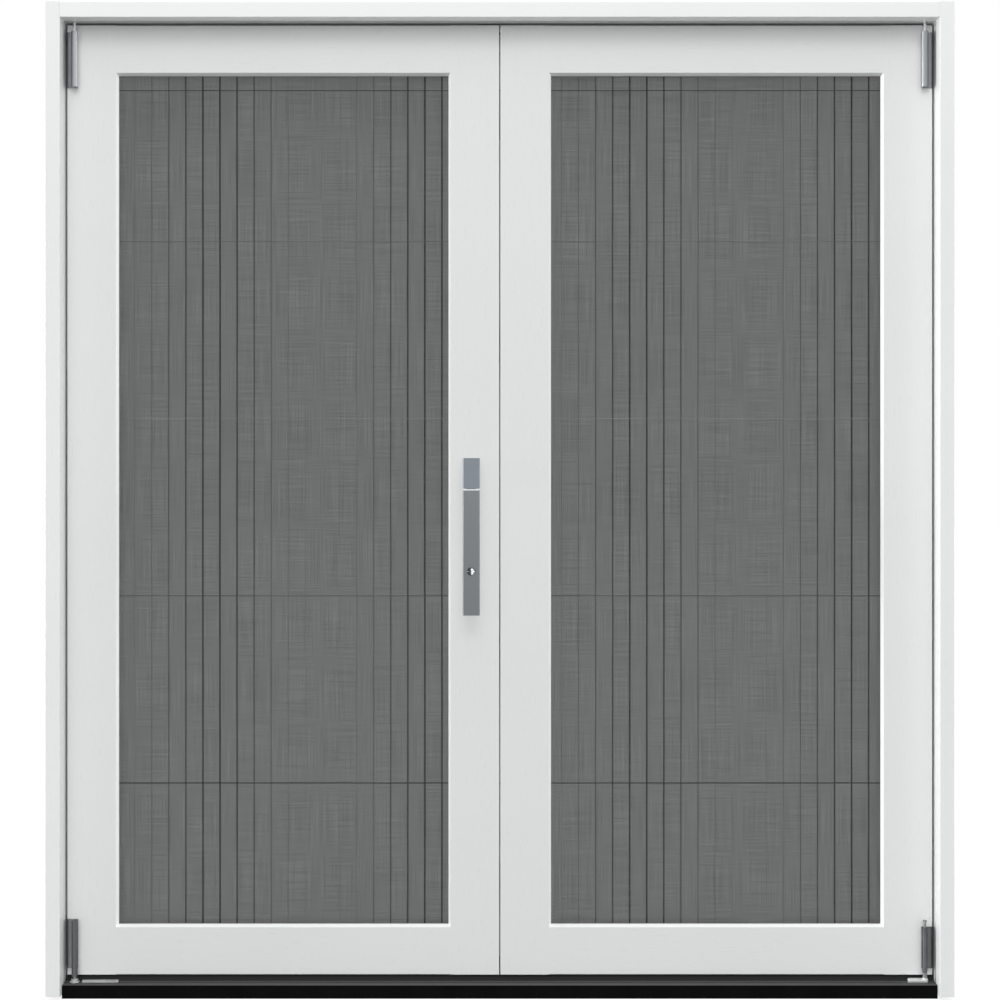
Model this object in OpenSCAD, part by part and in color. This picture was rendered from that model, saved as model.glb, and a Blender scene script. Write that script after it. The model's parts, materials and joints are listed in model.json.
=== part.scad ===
// Folding patio door: two glazed leaves in a frame, with a pleated insect screen behind.
// Millimetres, Z up, outside face towards -Y, origin under the middle of the sill.

/* [Frame] */
// Overall frame width
frame_w = 1850; // [1500:2:2400]
// Overall frame height from the sill underside
frame_h = 2032; // [1800:2:2400]
// Frame depth from outside to room
frame_depth = 167; // [160:1:190]
// Face width of the jambs
jamb_face = 30.5; // [26:0.1:40]
// Face width of the head
head_face = 31.6; // [29:0.1:40]
// Height of the jamb feet above the sill underside
jamb_lift = 8; // [2:0.5:12]
// Distance of the leaves behind the outside face of the frame
leaf_recess = 46; // [40:0.5:52]
// How far the door stops stand in from the jambs
stop_w = 14; // [12:0.5:20]
// Distance between leaf and door stops
stop_gap = 5.4; // [5:0.1:7]

/* [Sill] */
// Height of the sill under the leaves
sill_top = 39; // [36:0.5:40.5]
// Height of the sill nose at the outside
nose_h = 27.5; // [24:0.5:29]
// Reach of the sill in front of the leaves
sill_reach = 28; // [26:0.5:34]
// Rise of the sill tread from the nose to the leaves
tread_rise = 1.2; // [0.6:0.1:3]
// Top of the weather dam behind the leaves
dam_top = 56; // [50:0.5:70]
// Thickness of the weather dam
dam_t = 18; // [12:0.5:24]

/* [Leaves] */
// Thickness of the leaves
leaf_t = 44.5; // [42:0.5:50]
// Underside of the leaves above the sill underside
leaf_bottom = 42; // [41.5:0.5:46]
// Gap between leaf and jamb
side_gap = 4.3; // [4.3:0.1:7]
// Gap between leaf and head
head_gap = 4.9; // [4.5:0.1:8]
// Gap between the meeting stiles
meeting_gap = 2.4; // [2:0.1:4]
// Width of the stiles to the sight line
stile_w = 104.5; // [95:0.5:125]
// Width of the rails to the sight line
rail_w = 102; // [95:0.5:125]
// Width of the bevel round the glass
bevel_w = 4.5; // [3:0.5:8]

/* [Glass] */
// Thickness of one pane
pane_t = 4; // [3:0.5:6]
// Air space between the panes
pane_space = 16; // [12:0.5:18]
// Depth of the glazing rebate
rebate_w = 16; // [14:0.5:20]

/* [Corner hinges] */
// Distance of the corner pivots from the leaf edge
pivot_inset = 17.5; // [16:0.1:22]
// Distance of the corner pivots in front of the leaves
pivot_stand = 9.5; // [9:0.1:12]
// Radius of the upper hinge barrels
upper_barrel_r = 7; // [6:0.1:7.5]
// Radius of the lower left hinge barrel
left_barrel_r = 6; // [5:0.1:7]
// Radius of the lower right hinge barrel
right_barrel_r = 5; // [4.5:0.1:7]
// Length of the upper hinge barrels
upper_barrel_h = 114; // [90:1:140]
// Length of the lower left hinge barrel
left_barrel_h = 116; // [90:1:140]
// Length of the lower right hinge barrel
right_barrel_h = 92; // [80:1:120]

/* [Fold hinges] */
// Heights of the fold hinges as shares of the leaf height
fold_shares = [0.09, 0.33, 0.67, 0.91];
// Length of a fold hinge
fold_h = 100; // [80:1:120]
// Radius of the fold hinge knuckles
fold_r = 6; // [5:0.1:6]
// Distance of the fold axis behind the leaves
fold_stand = 9.5; // [9.5:0.1:12]
// Width of a fold hinge plate
fold_plate_w = 32; // [26:0.5:36]

/* [Handle] */
// Distance of the handle axis from the meeting edge
handle_inset = 57; // [50:0.5:65]
// Width of hub and lever
handle_w = 35; // [30:0.5:40]
// Top of the hub as a share of the frame height
handle_share = 0.5434; // [0.5:0.001:0.58]
// Height of the hub
hub_h = 62; // [50:0.5:70]
// Length of the lever below the hub
lever_h = 258.9; // [200:0.1:280]
// Thickness of the lever
lever_t = 11; // [9:0.5:13]
// Distance of the lever face in front of the leaf
handle_stand = 32; // [28:0.5:36]
// Distance of the lock button above the lever end
button_rise = 90; // [60:1:110]
// Travel of the bolts
bolt_travel = 18; // [14:0.5:18]

/* [Running gear] */
// Outside width of the head track
track_w = 25; // [24:0.5:26]
// Height of the head track
track_h = 25; // [24:0.5:26]
// Width of the slot in the head track
slot_w = 6; // [5.5:0.5:8]
// Length of the carriage block
carriage_l = 32; // [31:0.5:33]
// Length of the guide bar in the sill groove
guide_l = 74; // [50:1:100]

/* [Insect screen] */
// Distance between pleats with the screen drawn out
pleat_pitch = 36.1; // [28:0.1:44]
// Depth of the pleats
pleat_d = 8; // [6:0.1:10]
// Place of the middle pleat across the doorway as a share of the pleat distance
pleat_phase_share = -0.388; // [-0.5:0.001:0.5]
// Widest opening of a pleat at the mesh face
pleat_open = 2.2; // [1:0.1:4]
// Distance between one group of open pleats and the next
pleat_beat = 450; // [300:1:600]
// Heights of the guide cords as shares of the screen height
cord_shares = [0.1953, 0.3991, 0.5913, 0.7845, 0.9494];
// Radius of the guide cords
cord_r = 0.6; // [0.4:0.05:1]
// Width of the pull bar
bar_w = 34; // [28:0.5:40]

/* [Hidden] */
$fn = 48;

// finishing sizes and clearances
over = 1;
edge_r = 1.5;
round_steps = 4;
run_gap = 0.05;
loose_gap = 0.3;
slide_gap = 0.5;

// frame
frame_front = -frame_depth / 2;
frame_back = frame_depth / 2;
frame_half = frame_w / 2;
jamb_in = frame_half - jamb_face;
head_under = frame_h - head_face;
stop_in = jamb_in - stop_w;
seal_w = 6;
seal_t = 2.1;
seal_inset = 2;
fix_r = 3.5;
fix_shares = [0.08, 0.36, 0.64, 0.92];

// leaves
leaf_front = frame_front + leaf_recess;
leaf_back = leaf_front + leaf_t;
leaf_mid = leaf_front + leaf_t / 2;
leaf_in = meeting_gap / 2;
leaf_out = jamb_in - side_gap;
leaf_top = head_under - head_gap;
leaf_h = leaf_top - leaf_bottom;
stop_front = leaf_back + stop_gap;
bevel_d = 8;
lip_t = 12;

// glass
unit_t = 2 * pane_t + pane_space;
glass_front = leaf_front + lip_t;
glass_back = glass_front + unit_t;
edge_gap = 3;
glass_x = stile_w - rebate_w + edge_gap;
glass_z = rail_w - rebate_w + edge_gap;
spacer_inset = 1.5;
spacer_w = 6;
bead_flat = 5;
bead_slope = 11;

// corner pivots
pivot_x = leaf_out - pivot_inset;
pivot_y = leaf_front - pivot_stand;
pin_r = 2.25;
flange_t = 3;
flange_d = 35;
flange_lap = 1;
web_in = 5;
upper_drop = 15;
left_rise = -1.5;
right_rise = 7;
flange_rise = 14.5;
pivot_pin_h = 60;
collar_r = 3.2;
collar_h = 9;
collar_drop = 2;
pin_head_r = 4;
pin_head_t = 3;
pin_show = 12;
screw_r = 1.9;
screw_head_r = 3.6;
screw_l = 25;
fold_screw_l = 18;
screw_shares = [0.2, 0.5, 0.8];
flange_screw_y = leaf_front + flange_d / 2;

// sill
sill_front = leaf_front - sill_reach;
nose_r = 1.2;
tread_top = nose_h + tread_rise;
riser_set = 1.5;
riser_lean = 4;
riser_y = leaf_front + riser_set;
groove_w = 5.5;
groove_z = 20;
plate_r = 6.5;
plate_l = 42;
plate_bed = 3;
plate_h = 11.5;
plate_z = nose_h - plate_bed;
plate_top = plate_z + plate_h;
boss_r = 6;
boss_tip_r = 4;
boss_top = leaf_bottom + right_rise - slide_gap;
groove_end = pivot_x - plate_l - plate_r;
chamber_wall = 6;
chamber_top = groove_z - chamber_wall;
chamber_mid = leaf_front + groove_w / 2;

// fold hinges
fold_y = leaf_back + fold_stand;
fold_plate_t = 3;
fold_pin_r = 3;
knuckle_share = 0.3;
fold_zs = [for (s = fold_shares) leaf_bottom + s * leaf_h - fold_h / 2];
fold_screw_share = 0.66;
fold_screw_x = leaf_in + fold_plate_w * fold_screw_share;

// handle and lock
handle_x = leaf_in + handle_inset;
hub_top = handle_share * frame_h;
hub_bottom = hub_top - hub_h;
hub_z = hub_bottom + hub_h / 2;
joint_gap = 0.5;
lever_bevel = 3.4;
lever_top = hub_bottom - joint_gap;
lever_bottom = lever_top - lever_h;
lever_front = leaf_front - handle_stand;
lever_back = lever_front + lever_t;
backplate_t = 5;
backplate_lap = 3;
backplate_w = handle_w - 2 * backplate_lap;
backplate_margin = 4;
handle_r = 2.5;
neck_w = 20;
neck_t = 6;
neck_l = 12;
button_z = lever_bottom + button_rise;
button_r = 8;
button_dome = 5;
button_stem_r = 4;
button_travel = 2.5;
post_r = 9;
spindle_w = 8;
spindle_hole_r = 6.2;
rose_w = 30;
rose_h = 70;
rose_t = 5;
inside_stand = 22;
inside_t = 7;
inside_w = 24;
inside_l = 150;
inside_hub_r = 13;
case_w = 75;
case_t = 17;
case_up = 70;
case_down = 100;
bolt_inset = 22;
bolt_x = leaf_in + bolt_inset;
bolt_r = 5;
bolt_gap = 1;
keeper_w = 44;
keeper_d = 26;
keeper_t = 3;
keeper_depth = bolt_travel;

// running gear
track_wall = 2;
lip_h = 3;
cavity_w = track_w - 2 * track_wall;
cavity_h = track_h - track_wall - lip_h;
lip_top = head_under + lip_h;
carriage_w = 7;
wheel_r = 6.5;
wheel_w = 4.5;
axle_r = 2;
wheel_z = lip_top + loose_gap + wheel_r;
wheel_share = 0.3;
wheel_x = carriage_l * wheel_share;
wheel_y = carriage_w / 2 + slide_gap + wheel_w / 2;
carriage_lift = 3;
block_h = 15;
fixed_l = 2 * (pivot_inset + side_gap) - 2 * slide_gap;
foot_r = 10;
foot_t = 2;
drum_r = 7;
drum_t = 5;
fin_w = groove_w - 2 * slide_gap;
fin_top = nose_h - slide_gap;
guide_z = tread_top + slide_gap;
guide_w = 9;
guide_t = 3.8;
guide_start = 16.3;

// insect screen
screen_d = 27.5;
screen_front = frame_back - screen_d;
rail_wall = 2;
head_rail_h = 22;
sill_rail_h = 16;
head_rail_z = head_under - stop_w - head_rail_h;
sill_rail_top = sill_top + sill_rail_h;
channel_w = 28;
catch_w = 14;
bar_gap = 1.2;
bar_d = screen_d - 2 * rail_wall - 2 * bar_gap;
bar_front = screen_front + rail_wall + bar_gap;
bar_x1 = stop_in - catch_w - slide_gap;
bar_x0 = bar_x1 - bar_w;
bar_wall = 1.8;
bar_z0 = sill_top + rail_wall + bar_gap;
bar_z1 = head_under - stop_w - rail_wall - bar_gap;
grip_w = 8;
grip_d = 5;
grip_h = 300;
mesh_t = 0.6;
mesh_inset = 5;
mesh_y = bar_front + mesh_inset;
mesh_x0 = -stop_in + rail_wall;
mesh_x1 = bar_x0;
mesh_edge = 1.5;
mesh_z0 = sill_top + rail_wall + mesh_edge;
mesh_z1 = head_under - stop_w - rail_wall - mesh_edge;
mesh_h = mesh_z1 - mesh_z0;
pleat_least = 0.4;
pleat_shift = pleat_phase_share * pleat_pitch;
beat_phase_share = -0.337;
beat_shift = beat_phase_share * pleat_beat;
pleat_first = ceil((mesh_x0 + pleat_open + mesh_edge - pleat_shift) / pleat_pitch);
pleat_last = floor((mesh_x1 - pleat_open - mesh_edge - pleat_shift) / pleat_pitch);
cord_y = mesh_y - cord_r - loose_gap;

// colours
white = [0.87, 0.88, 0.88];
black = [0.08, 0.08, 0.09];
steel = [0.6, 0.62, 0.64];
satin = [0.5, 0.52, 0.54];
glass = [0.75, 0.85, 0.88, 0.3];
rubber = [0.15, 0.15, 0.15];
mesh_grey = [0.3, 0.3, 0.3];

// shape helpers
function unit(v) = v / norm(v);
function turned(v, a) = [v[0] * cos(a) - v[1] * sin(a), v[0] * sin(a) + v[1] * cos(a)];
function arc_at(a, p, b, r) =
    let (u = unit(a - p))
    let (w = unit(b - p))
    let (half = acos(u * w) / 2)
    let (centre = p + unit(u + w) * r / sin(half))
    let (start = p + u * r / tan(half) - centre)
    let (sweep = -sign(u[0] * w[1] - u[1] * w[0]) * (180 - 2 * half))
    [for (i = [0 : round_steps]) centre + turned(start, sweep * i / round_steps)];
function flat2(p) = [p[0], p[1]];
function rounded(c) =
    let (n = len(c))
    [for (i = [0 : n - 1])
        each c[i][2] > 0
            ? arc_at(flat2(c[(i + n - 1) % n]), flat2(c[i]), flat2(c[(i + 1) % n]), c[i][2])
            : [flat2(c[i])]];
function box_corners(x0, x1, y0, y1, r) = rounded([[x0, y0, r], [x1, y0, r], [x1, y1, r], [x0, y1, r]]);

// section of a stile or rail of width w: first value from the leaf edge inwards, second from the outside face
function member(w) = rounded([
    [0, 0, edge_r], [w - bevel_w, 0, 0], [w, bevel_d, 0], [w, lip_t, 0],
    [w - rebate_w, lip_t, 0], [w - rebate_w, leaf_t, 0], [0, leaf_t, edge_r]
]);
// section of the bead that holds the glass in such a stile or rail
function bead_section(w) = [
    [w - rebate_w, lip_t + unit_t], [w - bead_flat, lip_t + unit_t], [w - bead_slope, leaf_t],
    [w - rebate_w, leaf_t]
];

module box(x0, x1, y0, y1, z0, z1) {
    translate([x0, y0, z0]) cube([x1 - x0, y1 - y0, z1 - z0]);
}

module along_x(x0, x1) {
    translate([x0, 0, 0]) rotate([90, 0, 90]) linear_extrude(height = x1 - x0) children();
}

module along_z(z0, z1) {
    translate([0, 0, z0]) linear_extrude(height = z1 - z0) children();
}

module rod_y(x, z, r, y0, y1) {
    translate([x, y0, z]) rotate([-90, 0, 0]) cylinder(r = r, h = y1 - y0);
}

module rod_x(x0, x1, y, z, r) {
    translate([x0, y, z]) rotate([0, 90, 0]) cylinder(r = r, h = x1 - x0);
}

module rod_z(x, y, r, z0, z1) {
    translate([x, y, z0]) cylinder(r = r, h = z1 - z0);
}

module on_left() {
    mirror([1, 0, 0]) children();
}

// frame pieces
module jamb() {
    difference() {
        along_z(jamb_lift, frame_h) polygon(rounded([
            [jamb_in, frame_front, edge_r], [frame_half, frame_front, edge_r],
            [frame_half, frame_back, 0], [jamb_in, frame_back, 0]
        ]));
        for (s = fix_shares) rod_x(jamb_in - over, frame_half + over, leaf_mid, s * frame_h, fix_r);
    }
}

module left_jamb() {
    color(white) on_left() jamb();
}

module right_jamb() {
    color(white) jamb();
}

module head() {
    color(white) difference() {
        along_x(-jamb_in, jamb_in) polygon(rounded([
            [frame_front, head_under, edge_r], [frame_back, head_under, 0],
            [frame_back, frame_h, 0], [frame_front, frame_h, edge_r]
        ]));
        box(-jamb_in - over, jamb_in + over, pivot_y - track_w / 2, pivot_y + track_w / 2,
            head_under - over, head_under + track_h);
        keeper_block(head_under - over, head_under + keeper_t);
        rod_z(-bolt_x, leaf_mid, bolt_r + slide_gap, head_under, head_under + keeper_depth);
    }
}

module keeper_block(z0, z1) {
    box(-bolt_x - keeper_w / 2, -bolt_x + keeper_w / 2, leaf_mid - keeper_d / 2,
        leaf_mid + keeper_d / 2, z0, z1);
}

module sill() {
    color(black) difference() {
        along_x(-jamb_in, jamb_in) difference() {
            polygon(rounded([
                [sill_front, 0, 0], [frame_back, 0, 0], [frame_back, sill_top, 0],
                [riser_y + riser_lean, sill_top, 0], [riser_y, tread_top, 0], [sill_front, nose_h, nose_r]
            ]));
            polygon([
                [sill_front + chamber_wall, chamber_wall], [chamber_mid, chamber_wall],
                [chamber_mid, chamber_top], [sill_front + chamber_wall, chamber_top]
            ]);
            polygon([
                [chamber_mid + chamber_wall, chamber_wall], [stop_front, chamber_wall],
                [stop_front, chamber_top], [chamber_mid + chamber_wall, chamber_top]
            ]);
            polygon([
                [stop_front + chamber_wall, chamber_wall], [frame_back - chamber_wall, chamber_wall],
                [frame_back - chamber_wall, sill_top - chamber_wall],
                [stop_front + chamber_wall, sill_top - chamber_wall]
            ]);
        }
        box(-jamb_in - over, groove_end, pivot_y - groove_w / 2, pivot_y + groove_w / 2,
            groove_z, sill_top + over);
        pivot_stadium(plate_r + run_gap, plate_z, sill_top + over);
        keeper_block(sill_top - keeper_t, sill_top + over);
        rod_z(-bolt_x, leaf_mid, bolt_r + slide_gap, sill_top - keeper_depth, sill_top);
    }
}

module left_stop() {
    color(white) on_left() side_stop();
}

module right_stop() {
    color(white) side_stop();
}

module side_stop() {
    along_z(sill_top, head_under) polygon(rounded([
        [stop_in, stop_front, edge_r], [jamb_in, stop_front, 0], [jamb_in, frame_back, 0],
        [stop_in, frame_back, edge_r]
    ]));
}

module head_stop() {
    color(white) along_x(-stop_in, stop_in) polygon(rounded([
        [stop_front, head_under - stop_w, edge_r], [frame_back, head_under - stop_w, edge_r],
        [frame_back, head_under, 0], [stop_front, head_under, 0]
    ]));
}

module weather_dam() {
    color(black) along_x(-stop_in, stop_in) polygon(rounded([
        [stop_front, sill_top, 0], [stop_front + dam_t, sill_top, 0],
        [stop_front + dam_t, dam_top, edge_r], [stop_front, dam_top, edge_r]
    ]));
}

function seal_section(x0, y1) = rounded([
    [x0, y1, 0], [x0, y1 - seal_t, seal_t - slide_gap], [x0 + seal_w, y1 - seal_t, seal_t - slide_gap],
    [x0 + seal_w, y1, 0]
]);

module frame_seals() {
    color(rubber) {
        side_seal();
        on_left() side_seal();
        along_x(-stop_in, stop_in) flat_seal(head_under - stop_w + seal_inset);
        along_x(-stop_in, stop_in) flat_seal(dam_top - seal_inset - seal_w);
    }
}

module side_seal() {
    along_z(sill_top, head_under) polygon(seal_section(stop_in + seal_inset, stop_front));
}

module flat_seal(z0) {
    polygon([for (p = seal_section(z0, stop_front)) [p[1], p[0]]]);
}

module head_track() {
    color(white) along_x(-jamb_in, jamb_in) difference() {
        polygon(box_corners(pivot_y - track_w / 2, pivot_y + track_w / 2, head_under,
            head_under + track_h, 0));
        polygon(box_corners(pivot_y - cavity_w / 2, pivot_y + cavity_w / 2, lip_top,
            lip_top + cavity_h, 0));
        polygon(box_corners(pivot_y - slot_w / 2, pivot_y + slot_w / 2, head_under - over,
            lip_top + over, 0));
    }
}

module hanging_pin(x, block_z) {
    rod_z(x, pivot_y, collar_r, head_under - collar_drop - collar_h, head_under - collar_drop);
    rod_z(x, pivot_y, pin_r, leaf_top - upper_drop - pivot_pin_h, block_z);
}

module top_pivot() {
    color(steel) {
        box(pivot_x - fixed_l / 2, pivot_x + fixed_l / 2, pivot_y - cavity_w / 2, pivot_y + cavity_w / 2,
            lip_top, lip_top + block_h);
        hanging_pin(pivot_x, lip_top + block_h);
    }
}

module pivot_stadium(r, z0, z1) {
    rod_z(pivot_x, pivot_y, r, z0, z1);
    rod_z(pivot_x - plate_l + 2 * plate_r, pivot_y, r, z0, z1);
    box(pivot_x - plate_l + 2 * plate_r, pivot_x, pivot_y - r, pivot_y + r, z0, z1);
}

module bottom_pivot_plate() {
    color(steel) difference() {
        union() {
            pivot_stadium(plate_r, plate_z, plate_top);
            translate([pivot_x, pivot_y, plate_z])
                cylinder(r1 = boss_r, r2 = boss_tip_r, h = boss_top - plate_z);
        }
        rod_z(pivot_x, pivot_y, pin_r + run_gap, plate_z - over, boss_top + over);
    }
}

module bottom_pivot_pin() {
    pin_top = leaf_bottom + right_rise + right_barrel_h + pin_show;
    color(steel) {
        rod_z(pivot_x, pivot_y, pin_r, plate_z, pin_top + pin_head_t);
        rod_z(pivot_x, pivot_y, pin_head_r, pin_top, pin_top + pin_head_t);
    }
}

module keeper(z0) {
    difference() {
        keeper_block(z0, z0 + keeper_t);
        rod_z(-bolt_x, leaf_mid, bolt_r + slide_gap, z0 - over, z0 + keeper_t + over);
    }
}

module bolt_keepers() {
    color(steel) {
        keeper(head_under);
        keeper(sill_top - keeper_t);
    }
}

// screen pieces
module screen_head_rail() {
    color(white) along_x(-stop_in, stop_in) difference() {
        polygon(box_corners(screen_front, frame_back, head_rail_z, head_under - stop_w, 0));
        polygon(box_corners(screen_front + rail_wall, frame_back - rail_wall, head_rail_z - over,
            head_under - stop_w - rail_wall, 0));
    }
}

module screen_sill_rail() {
    color(black) along_x(-stop_in, stop_in) difference() {
        polygon(box_corners(screen_front, frame_back, sill_top, sill_rail_top, 0));
        polygon(box_corners(screen_front + rail_wall, frame_back - rail_wall, sill_top + rail_wall,
            sill_rail_top + over, 0));
    }
}

module screen_fixed_channel() {
    color(white) along_z(sill_rail_top, head_rail_z) difference() {
        polygon(box_corners(-stop_in, -stop_in + channel_w, screen_front, frame_back, 0));
        polygon(box_corners(-stop_in + rail_wall, -stop_in + channel_w + over, screen_front + rail_wall,
            frame_back - rail_wall, 0));
    }
}

module screen_catch_channel() {
    color(white) along_z(sill_rail_top, head_rail_z) difference() {
        polygon(box_corners(stop_in - catch_w, stop_in, screen_front, frame_back, 0));
        polygon(box_corners(stop_in - catch_w - over, stop_in - rail_wall, screen_front + rail_wall,
            frame_back - rail_wall, 0));
    }
}

function pleat_x(i) = pleat_shift + i * pleat_pitch;
function pleat_share(i) = (1 + cos(360 * (pleat_x(i) - beat_shift) / pleat_beat)) / 2;
function pleat_half(i) = (pleat_least + (pleat_open - pleat_least) * pleat_share(i)) / 2;

module insect_screen() {
    near = [for (i = [pleat_first : pleat_last])
        each [[pleat_x(i) - pleat_half(i), mesh_y], [pleat_x(i), mesh_y + pleat_d],
            [pleat_x(i) + pleat_half(i), mesh_y]]];
    far = [for (i = [pleat_last : -1 : pleat_first])
        each [[pleat_x(i) + pleat_half(i) + mesh_t, mesh_y + mesh_t],
            [pleat_x(i) + mesh_t, mesh_y + pleat_d + mesh_t],
            [pleat_x(i) - mesh_t, mesh_y + pleat_d + mesh_t],
            [pleat_x(i) - pleat_half(i) - mesh_t, mesh_y + mesh_t]]];
    color(mesh_grey) along_z(mesh_z0, mesh_z1) polygon(concat(
        [[mesh_x0, mesh_y]], near, [[mesh_x1, mesh_y], [mesh_x1, mesh_y + mesh_t]], far,
        [[mesh_x0, mesh_y + mesh_t]]));
}

module screen_cords() {
    color(rubber) for (s = cord_shares) rod_x(mesh_x0, mesh_x1, cord_y, mesh_z0 + s * mesh_h, cord_r);
}

module screen_pull_bar() {
    grip_x = bar_x0 + bar_w / 2;
    grip_z = (bar_z0 + bar_z1) / 2;
    color(white) {
        along_z(bar_z0, bar_z1) difference() {
            polygon(box_corners(bar_x0, bar_x1, bar_front, bar_front + bar_d, edge_r));
            polygon(box_corners(bar_x0 + bar_wall, bar_x1 - bar_wall, bar_front + bar_wall,
                bar_front + bar_d - bar_wall, 0));
        }
        box(grip_x - grip_w / 2, grip_x + grip_w / 2, bar_front - grip_d, bar_front + bar_wall / 2,
            grip_z - grip_h / 2, grip_z + grip_h / 2);
    }
}

// leaf pieces, drawn for the right leaf
module hinge_stile_blank() {
    along_z(leaf_bottom, leaf_top) polygon([for (p = member(stile_w)) [leaf_out - p[0], leaf_front + p[1]]]);
}

module meeting_stile_blank() {
    along_z(leaf_bottom, leaf_top) polygon([for (p = member(stile_w)) [leaf_in + p[0], leaf_front + p[1]]]);
}

module flange_pocket(z0, z1) {
    box(leaf_out - flange_t, leaf_out + over, leaf_front - over, leaf_front + flange_d, z0, z1);
    for (s = screw_shares) rod_x(leaf_out - screw_l - over, leaf_out, flange_screw_y, z0 + s * (z1 - z0),
        screw_r + run_gap);
}

module fold_screw_holes() {
    for (z = fold_zs, s = screw_shares) rod_y(fold_screw_x, z + s * fold_h, screw_r + run_gap,
        leaf_back - fold_screw_l, leaf_back + over);
}

module hinge_stile(low_flange_top) {
    difference() {
        hinge_stile_blank();
        flange_pocket(leaf_top - upper_drop - upper_barrel_h, leaf_top - upper_drop);
        flange_pocket(leaf_bottom + flange_rise, low_flange_top);
    }
}

module meeting_stile() {
    difference() {
        meeting_stile_blank();
        fold_screw_holes();
    }
}

module top_rail() {
    difference() {
        along_x(leaf_in + stile_w - rebate_w, leaf_out - stile_w + rebate_w)
            polygon([for (p = member(rail_w)) [leaf_front + p[1], leaf_top - p[0]]]);
        hinge_stile_blank();
        meeting_stile_blank();
    }
}

module bottom_rail() {
    difference() {
        along_x(leaf_in + stile_w - rebate_w, leaf_out - stile_w + rebate_w)
            polygon([for (p = member(rail_w)) [leaf_front + p[1], leaf_bottom + p[0]]]);
        hinge_stile_blank();
        meeting_stile_blank();
    }
}

module pane(y0) {
    box(leaf_in + glass_x, leaf_out - glass_x, y0, y0 + pane_t, leaf_bottom + glass_z, leaf_top - glass_z);
}

module spacer_block(inset, y0, y1) {
    box(leaf_in + glass_x + inset, leaf_out - glass_x - inset, y0, y1, leaf_bottom + glass_z + inset,
        leaf_top - glass_z - inset);
}

module spacer() {
    y0 = glass_front + pane_t;
    difference() {
        spacer_block(spacer_inset, y0, y0 + pane_space);
        spacer_block(spacer_inset + spacer_w, y0 - over, y0 + pane_space + over);
    }
}

module beads() {
    z0 = leaf_bottom + rail_w - rebate_w;
    z1 = leaf_top - rail_w + rebate_w;
    along_z(z0, z1) polygon([for (p = bead_section(stile_w)) [leaf_out - p[0], leaf_front + p[1]]]);
    along_z(z0, z1) polygon([for (p = bead_section(stile_w)) [leaf_in + p[0], leaf_front + p[1]]]);
    difference() {
        along_x(leaf_in + stile_w - bead_slope, leaf_out - stile_w + bead_slope)
            polygon([for (p = bead_section(rail_w)) [leaf_front + p[1], leaf_top - p[0]]]);
        bead_cope(z0, z1);
    }
    difference() {
        along_x(leaf_in + stile_w - bead_slope, leaf_out - stile_w + bead_slope)
            polygon([for (p = bead_section(rail_w)) [leaf_front + p[1], leaf_bottom + p[0]]]);
        bead_cope(z0, z1);
    }
}

module bead_cope(z0, z1) {
    side = bead_section(stile_w);
    along_z(z0, z1) polygon([for (p = side) [leaf_out - p[0] - run_gap, leaf_front + p[1]]]);
    along_z(z0, z1) polygon([for (p = side) [leaf_in + p[0] + run_gap, leaf_front + p[1]]]);
}

module pivot_hinge(z0, z1, f0, f1, r) {
    web_t = pivot_stand - r + flange_lap;
    difference() {
        union() {
            rod_z(pivot_x, pivot_y, r, z0, z1);
            along_z(f0, f1) polygon(rounded([
                [pivot_x - web_in, leaf_front - web_t, 0], [leaf_out, leaf_front - web_t, web_t - slide_gap],
                [leaf_out, leaf_front, 0], [pivot_x - web_in, leaf_front, 0]
            ]));
            box(leaf_out - flange_t, leaf_out, leaf_front - over, leaf_front + flange_d, f0, f1);
        }
        rod_z(pivot_x, pivot_y, pin_r + run_gap, z0 - over, z1 + over);
        for (s = screw_shares) translate([leaf_out - flange_t, flange_screw_y, f0 + s * (f1 - f0)])
            rotate([0, 90, 0]) cylinder(r1 = screw_r + run_gap, r2 = screw_head_r + run_gap, h = flange_t);
    }
}

module top_hinge() {
    z1 = leaf_top - upper_drop;
    pivot_hinge(z1 - upper_barrel_h, z1, z1 - upper_barrel_h, z1, upper_barrel_r);
}

module flange_screws(f0, f1) {
    for (s = screw_shares) translate([leaf_out - screw_l, flange_screw_y, f0 + s * (f1 - f0)])
        rotate([0, 90, 0]) {
            cylinder(r = screw_r, h = screw_l);
            translate([0, 0, screw_l - flange_t]) cylinder(r1 = screw_r, r2 = screw_head_r, h = flange_t);
        }
}

module fold_screws() {
    for (z = fold_zs, s = screw_shares) translate([fold_screw_x, leaf_back + fold_plate_t, z + s * fold_h])
        rotate([90, 0, 0]) {
            cylinder(r = screw_r, h = fold_screw_l);
            cylinder(r1 = screw_head_r, r2 = screw_r, h = fold_plate_t);
        }
}

module leaf_screws(low_flange_top) {
    flange_screws(leaf_top - upper_drop - upper_barrel_h, leaf_top - upper_drop);
    flange_screws(leaf_bottom + flange_rise, low_flange_top);
    fold_screws();
}

module fold_plate() {
    difference() {
        box(leaf_in + slide_gap, leaf_in + fold_plate_w, leaf_back, leaf_back + fold_plate_t, 0, fold_h);
        for (s = screw_shares) translate([fold_screw_x, leaf_back + fold_plate_t, s * fold_h])
            rotate([90, 0, 0])
                cylinder(r1 = screw_head_r + run_gap, r2 = screw_r + run_gap, h = fold_plate_t);
    }
}

module knuckle(z0, z1) {
    difference() {
        union() {
            rod_z(0, fold_y, fold_r, z0, z1);
            box(leaf_in + slide_gap, fold_r, leaf_back, fold_y, z0, z1);
        }
        rod_z(0, fold_y, fold_pin_r + run_gap, z0 - over, z1 + over);
    }
}

low_right_top = leaf_bottom + right_rise + right_barrel_h;
low_left_top = leaf_bottom + left_rise + left_barrel_h;

module right_hinge_stile() {
    color(white) hinge_stile(low_right_top);
}

module right_meeting_stile() {
    color(white) meeting_stile();
}

module right_top_rail() {
    color(white) top_rail();
}

module right_bottom_rail() {
    color(white) bottom_rail();
}

module right_outer_pane() {
    color(glass) pane(glass_front);
}

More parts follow.
